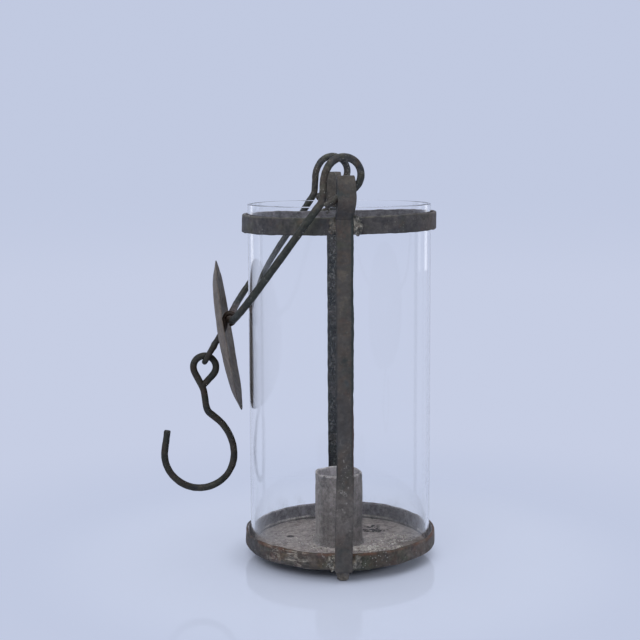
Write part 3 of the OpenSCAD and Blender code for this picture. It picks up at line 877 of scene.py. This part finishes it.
def crust_surface():
    """White mineral grains on the pan's floor, each a small rough ball of a few faces.

    Each patch is (x, y) from, (x, y) to, its spread, how many grains and their usual radius; a grain sits
    at a random place along the patch, at floor height, and is flatter than it is wide.
    """
    rng = np.random.default_rng(70)
    patches = [((8, -18), (27, -16), 2.8, 100, 0.62), ((16, -12), (38, 6), 3.6, 75, 0.55),
               ((-19.5, -10), (-4, -19), 2.6, 50, 0.50), ((7.5, -16.5), (9.5, -17.5), 0.9, 12, 0.95),
               ((28, -14), (36, -20), 2.0, 18, 0.55), ((-30, 4), (30, -6), 14, 50, 0.42)]
    spots, sizes = [], []
    for start, end, spread, count, radius in patches:
        t = rng.random((count, 1))
        spots.append((1 - t)*start + t*np.array(end) + rng.normal(0, spread, (count, 2)))
        sizes.append(radius*rng.uniform(0.6, 1.5, count))
    spots, sizes = np.concatenate(spots), np.concatenate(sizes)
    from_middle = np.hypot(*spots.T)
    kept = (from_middle < 45.5) & (from_middle > SOCKET_OUTER + 3.2)
    spots, sizes = spots[kept], sizes[kept]
    latitude = np.linspace(0.5, np.pi - 0.5, 4)[:, None]
    longitude = np.linspace(0, 2*np.pi, 6, endpoint=False)
    unit = np.stack([np.sin(latitude)*np.cos(longitude), np.sin(latitude)*np.sin(longitude),
                     0.7*np.cos(latitude) + 0*longitude], axis=-1)
    rough = rng.uniform(0.75, 1.2, (len(spots), 4, 6, 1))
    middle = np.stack([spots[:, 0], spots[:, 1], FLOOR_Z + 0.35*sizes], axis=-1)
    grains = middle[:, None, None] + sizes[:, None, None, None]*rough*unit
    return joined([shell(grain) for grain in grains])


def foot_surface(angle, seed, shift=0.0):
    """A stubby peg that narrows downwards: a rounded section turned about Z, moved to the foot circle."""
    top_r, low_r = FOOT_D/2, FOOT_D/2 - 0.8
    outline = evenly(rounded([(0.1, 0, 0), (low_r, 0, 1.5), (top_r, 3.4, 1.5), (top_r, TRAY_Z + 0.2, 0.2),
                              (0.1, TRAY_Z + 0.2, 0)]), 0.3)
    grid = worn(turned(outline, 56), [(5, 0.10), (1.8, 0.06)], seed)
    grid[..., 2] = np.clip(grid[..., 2], 0.0, None)
    a = np.radians(angle)
    return shell(grid + [FOOT_R*np.cos(a) + shift, FOOT_R*np.sin(a), 0])


add_piece("tray_pan", tray_surface(), "base", iron_tray, ["tray"])
add_piece("candle_tube", socket_surface(), "base", iron_socket, ["candle_socket"])
add_piece("solder_flare", solder_surface(), "base", iron_socket, ["socket_solder"])
add_piece("mineral_crust", crust_surface(), "base", mineral)
add_piece("peg_foot_front", foot_surface(-90, 200, -1.1), "base", iron_foot, ["foot_front"])
add_piece("peg_foot_left", foot_surface(150, 210), "base", iron_foot, ["foot_left"])
add_piece("peg_foot_right", foot_surface(30, 220), "base", iron_foot, ["foot_right"])


# Guard ring and uprights

def ring_surface():
    """The guard ring: a rounded bar section turned about Z as a closed loop.

    Its left end is a little taller than its right, its back is hammered lower, and it is tilted about Y, with
    its left end down.
    """
    inner, outer = BAND_R - BAND_WALL, BAND_R - WORN_OFF
    outline = evenly(rounded([(inner, RING_Z + 4, 0), (inner, RING_TOP, 0.5), (outer, RING_TOP, 0.55),
                              (outer, RING_Z, 0.6), (inner, RING_Z, 0.5), (inner, RING_Z + 4, 0)]), 0.36)
    grid = worn(turned(outline[:-1], 380), [(30, 0.10), (8, 0.07), (2.6, 0.025)], 300)
    middle = (RING_Z + RING_TOP)/2
    x, y = grid[..., 0], grid[..., 1]
    rise = (grid[..., 2] - middle)*(1 + 0.05*step(-x, 20, 50))
    dip = 1.2*(1 - 0.25*step(-x, 8, 30))*step(y, 30, 56) - 0.4*bell(x, 34, 10)*step(-y, 15, 35)
    rise = rise - dip*step(rise, -1, 4)
    grid[..., 2] = middle + rise + x*np.tan(np.radians(RING_TILT)) - 0.1
    return shell(grid, wrap=True)


def bar_surface(seed):
    """A flat bar bent over at its top: a rounded rectangle carried along the bar's middle line.

    The line goes up beside the bands, over the fold, down the outer side and in to the lip. The bar's
    foot leans to the left, and the outer leaf bows to the right, then narrows and turns in to the bar.
    """
    middle = STRAP_OUT - STRAP_T/2
    a = np.linspace(np.pi, 0, 30)[:, None]
    fold = np.concatenate([ROD_PLANE + (SLOT_GAP + STRAP_T)/2*np.cos(a),
                           FOLD_Z + (SLOT_GAP + STRAP_T)/2*np.sin(a)], axis=1)
    lip = middle + 1.7
    line = np.concatenate([[[middle, TRAY_Z + 0.1]], fold, [[FOLD_OUTER, KNEE_Z + 1.5]],
                           [[FOLD_OUTER - 0.6, KNEE_Z]], [[lip, LIP_Z + 0.2]], [[lip - 0.9, LIP_Z - 2.0]]])
    line = evenly(line, 0.7)
    path = np.stack([0*line[:, 0], -line[:, 0], line[:, 1]], axis=-1)
    path[20:] = eased(path, 1.8)[20:]
    across = np.array([1.0, 0, 0])
    thick = np.cross(frames(path)[0], across)
    along = along_path(path)
    left = along[-1] - along
    low = 1 - step(path[:, 2], 10, 60)
    leaf = left < 40
    half_width = np.where(leaf, np.interp(left, [0, 3, 7, 13, 20, 27], [4.0, 4.5, 4.5, 4.75, 4.75, 4.5]), 4.5)
    half_width = half_width + 0.12*low + 0.05*np.sin(along/11 + seed) - 0.5*(1 - step(along, 0, 0.8))
    half_thick = STRAP_T/2 - WORN_OFF - 0.75*(1 - step(left, 0, 5.0)) - 0.3*(1 - step(along, 0, 0.8))
    outline = bar_outline(half_width*STRAP_W/8.85, half_thick, 0.42)
    bow = np.interp(left, [0, 2.5, 6, 10, 15, 20, 26, 36, 50], [-0.8, -0.5, 0.35, 0.75, 0.85, 0.5, 0.25, 0, -0.15])
    bow = eased(np.stack([bow, bow, bow], axis=-1), 2.5)[:, 0] - 0.85*(1 - step(path[:, 2], 12, 62))
    x, t = outline[..., :1] + bow[:, None, None], outline[..., 1:]
    grid = path[:, None] + x*across + t*thick[:, None]
    return shell(worn(grid, [(24, 0.07), (6, 0.05), (2, 0.025)], seed))


def turned_half(surface):
    """The same surface turned half a turn about Z."""
    points, quads, fans = surface
    return points*[-1, -1, 1], quads, fans


def braze_surface(low, height, lumps, seed):
    """Two rough lumps of braze, one on each side of the front bar, sunk into the band.

    lumps gives each one's half width, half depth, half height and the distance of its middle from the bar's.
    """
    return joined([lump((side*out, -BAND_R + 0.1, low + height/2), (wide, deep, high), seed + side)
                   for side, (wide, deep, high, out) in zip((-1, 1), lumps)])


RING_LUMPS = [(2.7, 1.5, 4.0, 5.2), (3.0, 1.7, 4.4, 5.6)]
TRAY_LUMPS = [(3.2, 1.6, 3.9, 5.6), (2.9, 1.5, 3.3, 5.4)]
ring_height = RING_TOP - RING_Z
tray_height = TRAY_TOP - TRAY_Z
add_piece("guard_band", ring_surface(), "base", iron_ring, ["guard_ring"])
add_piece("front_bar", bar_surface(400), "base", iron_front, ["upright_front"])
add_piece("rear_bar", turned_half(bar_surface(440)), "base", iron_rear, ["upright_rear"])
add_piece("ring_braze_lumps_front", braze_surface(RING_Z, ring_height, RING_LUMPS, 500), "base", braze,
          ["ring_braze_front"])
add_piece("ring_braze_lumps_rear", turned_half(braze_surface(RING_Z, ring_height, RING_LUMPS, 520)), "base",
          braze, ["ring_braze_rear"])
add_piece("tray_braze_lumps_front", braze_surface(TRAY_Z + 0.6, tray_height - 1.2, TRAY_LUMPS, 540), "base",
          braze, ["tray_braze_front"])
add_piece("tray_braze_lumps_rear", turned_half(braze_surface(TRAY_Z + 0.6, tray_height - 1.2, TRAY_LUMPS, 560)),
          "base", braze, ["tray_braze_rear"])


# Glass

def glass_surface():
    """The tube: its wall's section, with small round edges, turned about Z as a closed loop."""
    inner, outer, edge = GLASS_R - GLASS_WALL, GLASS_R, 0.45
    down = np.concatenate([[GLASS_TOP - edge - 0.05], np.linspace(GLASS_TOP - 2, FLOOR_Z + 2, 12),
                           [FLOOR_Z + edge + 0.05]])
    outline = rounded([(inner, FLOOR_Z + 2, 0), (inner, GLASS_TOP, edge), (outer, GLASS_TOP, edge),
                       (outer, FLOOR_Z, edge), (inner, FLOOR_Z, edge), (inner, FLOOR_Z + 2, 0)])[1:-1]
    half = len(outline)//2
    outer_wall = np.stack([np.full(len(down), outer), down], axis=-1)
    inner_wall = np.stack([np.full(len(down), inner), down[::-1]], axis=-1)
    return shell(turned(np.concatenate([outline[:half], outer_wall, outline[half:], inner_wall]), 400), wrap=True)


add_piece("glass_tube", glass_surface(), "chimney", clear_glass, ["glass_chimney"])


# Bail, link, disc and hook

def bail_path():
    """The bail's whole middle line: eye, arm, corner and top of one half, then the other half back."""
    throat_r, shoulder_r, slant, tail_lean = 6, 16, 34.0, 23.4
    s, c = np.sin(np.radians(slant)), np.cos(np.radians(slant))
    side = (BAIL_EYE_R - (throat_r + shoulder_r)*(1 - c) - ARM_X)/s
    eye_h = (throat_r + shoulder_r)*s + side*c
    tail = (ARM_X - 0.62*ROD_D + BAIL_EYE_R*np.cos(np.radians(tail_lean)))/np.sin(np.radians(tail_lean))
    corner_r, peak = 27, 7.5
    s, c = np.cos(np.radians(peak)), np.sin(np.radians(peak))
    across = (ROD_PLANE - corner_r*(1 - c) - APEX_R*c)/s
    arm = BAIL_H - corner_r*s - across*c - APEX_R*(1 - s) - eye_h
    start = np.array([ARM_X, -ROD_PLANE, eye_h])
    up = bent_rod([(arm,), (corner_r, 90 - peak, 90), (across,), (APEX_R, peak, 0)])
    down = bent_rod([(throat_r, -slant, 0), (side,), (shoulder_r, slant, 0), (BAIL_EYE_R, 180 + tail_lean, 0),
                     (tail + 0.7,)], going_down=True)
    half = np.concatenate([down[::-1], up[1:]]) + start
    whole = np.concatenate([half, half[-2::-1]*[1, -1, 1]])
    return leaned(eased(evenly(whole, 0.5), 2.4), BAIL_PIVOT, BAIL_LEAN - 180)


def link_path():
    """The link's wire: a leg's eye round the bail, the leg, the far bend, and the other leg and eye."""
    eye_r, throat, slant = ROD_D/2 + 0.2 + 0.31*WIRE_D, 2.2, 52.0
    s, c = np.sin(np.radians(slant)), np.cos(np.radians(slant))
    side = max((eye_r - (eye_r + throat)*(1 - c))/s, 0.2)
    reach = (throat + eye_r)*s + side*c
    leg = LINK_LEN - LEG_Y - reach
    start = np.array([0.0, -LEG_Y, reach])
    out = bent_rod([(leg,), (LEG_Y, 180, 90), (leg,)]) + start
    eye = bent_rod([(throat, -slant, 0), (side,), (eye_r, slant + 180 + 62, 0)], going_down=True) + start
    whole = np.concatenate([eye[::-1], out[1:], (eye*[1, -1, 1])[1:]])
    return leaned(eased(evenly(whole, 0.4), 1.6), LINK_PIVOT, LINK_LEAN - 180)


def link_swell(along, path):
    """Thinner round the bail, where the wire was drawn out, with a small shoulder on each leg."""
    edge = np.minimum(along, along[-1] - along)
    return 0.62 + 0.40*step(edge, 12, 22) + 0.16*bell(edge, 31, 0.9)


def hook_path():
    """The hook's middle line, from its eye's tail round the eye, down the shank and round to the point."""
    eye_r, eye_side, tail_lean = 6.3, 9.8, 43.0
    shank_lean, throat_r, throat, slope, entry, point_lean = 7.6, 5.0, 19.4, 51.5, 2.0, 9.4
    eye_lean = shank_lean + throat
    e, s = np.radians(eye_lean), np.radians(shank_lean)
    exit_x = -eye_r*np.cos(e) + eye_side*np.sin(e)
    exit_z = -eye_r*np.sin(e) - eye_side*np.cos(e)
    seat = eye_r - HOOK_D/2 - WIRE_D/2 - 0.2
    start = HOOK_PIVOT + [exit_x + throat_r*(np.cos(s) - np.cos(e)),
                          exit_z - seat - throat_r*(np.sin(e) - np.sin(s))]
    up = bent_rod([(throat_r, -throat, 0), (eye_side,), (eye_r, eye_lean + 180 + tail_lean, 0), (1.5*eye_r,)])
    down = bent_rod([(9.6,), (5, shank_lean - slope, 0), (4,), (26.5, slope - entry, 0),
                     (19.3, entry + 180 + point_lean, 0), (10.4,)])
    up = leaned(up, start, -shank_lean)
    down = leaned(down, start, 180 - shank_lean)
    return eased(evenly(np.concatenate([up[::-1], down[1:]]), 0.5), 2.2)


def disc_surface():
    """The smoke disc: both faces of a shallow dish, joined round the rim and the hole.

    A face point is at r from the middle, at the sphere's height sqrt(R^2 - r^2) - R plus a swell near the
    rim and a hollow near the middle, turned about the pole, then leaned and moved to its place.
    """
    r = np.linspace(DISC_HOLE, DISC_R, 80)
    edge = np.clip(np.minimum(r - DISC_HOLE, DISC_R - r)/0.7, 0, 1)
    half = DISC_T/2*np.sqrt(1 - (1 - edge)**2)*(1 - 0.45*step(r, 25, DISC_R))
    share = r/DISC_R
    height = np.sqrt(DISC_SPHERE**2 - r**2) - DISC_SPHERE + 0.62*bell(share, 0.77, 0.092) - 0.35*bell(share, 0.33, 0.085)
    outline = np.concatenate([np.stack([r, height + half], axis=-1), np.stack([r, height - half], axis=-1)[-2:0:-1]])
    grid = turned(outline, 280)
    grid[..., 2] += 0.09*waves(grid*[1, 1, 0], 19, 600) + 0.03*waves(grid*[1, 1, 0], 6, 601)
    points, quads, fans = shell(worn(grid, [(20, 0.05)], 610), wrap=True)
    return leaned(points, DISC_PIVOT, DISC_LEAN - 180), quads, fans


def bail_swell(along, path):
    """A little thicker at the middle of the top, where the rod was hammered."""
    return 1 + 0.04*bell(path[:, 1], 0, 12)*(path[:, 2] < 150)


add_piece("bail_rod", rod(bail_path(), ROD_D, 700, swell=bail_swell), "bail", iron_bail, ["bail"])
add_piece("link_wire", rod(link_path(), WIRE_D, 720, around=22, swell=link_swell), "link", iron_hook,
          ["hanging_link"])
add_piece("smoke_dish", disc_surface(), "disc", iron_disc, ["smoke_disc"])
add_piece("hook_rod", rod(hook_path(), HOOK_D, 740, end_round=0.25), "hook", iron_hook, ["hook"])
